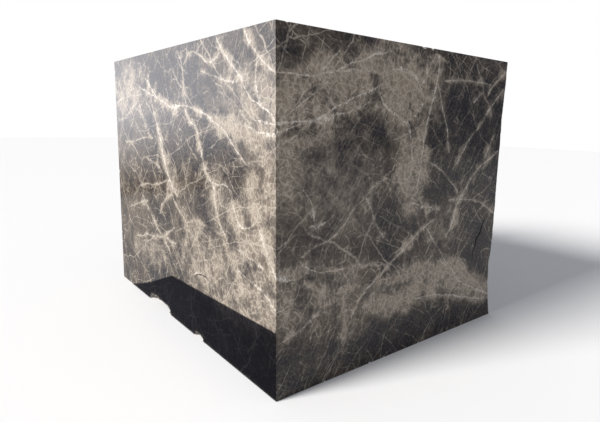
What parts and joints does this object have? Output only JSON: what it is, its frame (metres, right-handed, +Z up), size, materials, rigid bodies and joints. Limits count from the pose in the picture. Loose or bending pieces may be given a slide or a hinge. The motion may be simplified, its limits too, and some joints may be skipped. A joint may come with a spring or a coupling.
{
  "type": "marble block",
  "caption": "Large sawn block of dark grey-brown marble with a dense web of pale veins, flat sawn faces and a rough quarry face at the back.",
  "frame": {"origin": "middle of the foot, on the surface the block rests on", "axes": "+Z up, +X along the long side, -Y out of the long polished face, +Y out of the rough quarry face"},
  "size_m": [2.31, 1.93, 1.8],
  "materials": {
    "marble": "sawn and polished, rough at the back"
  },
  "bodies": {
    "root": {"marble_block": "marble"}
  },
  "joints": []
}
